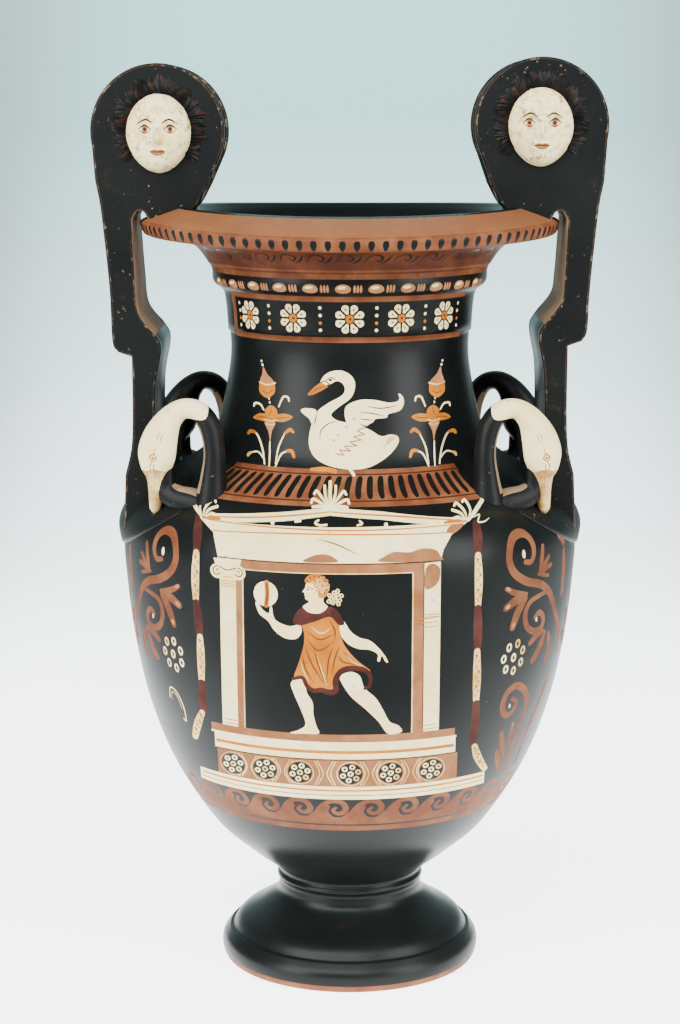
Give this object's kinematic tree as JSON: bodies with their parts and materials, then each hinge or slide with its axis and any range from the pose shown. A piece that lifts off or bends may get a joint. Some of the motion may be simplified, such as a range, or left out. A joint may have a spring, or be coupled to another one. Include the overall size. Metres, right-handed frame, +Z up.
{
  "type": "greek volute krater",
  "caption": "Tall footed clay mixing bowl with a wide lip, strap handles ending in mask volutes, and swan-neck loops on the shoulder.",
  "frame": {"origin": "on the vessel's axis, at the plane the foot rests on", "axes": "+Z up along the vessel's axis; the two handles stand along X; the main painted side faces -Y"},
  "size_m": [0.3298, 0.2988, 0.5997],
  "materials": {
    "black_glaze": "lustrous black slip, worn",
    "reserved_clay": "matt red-orange clay",
    "added_white": "matt white slip, worn"
  },
  "bodies": {
    "root": {"krater": "black_glaze"}
  },
  "joints": []
}
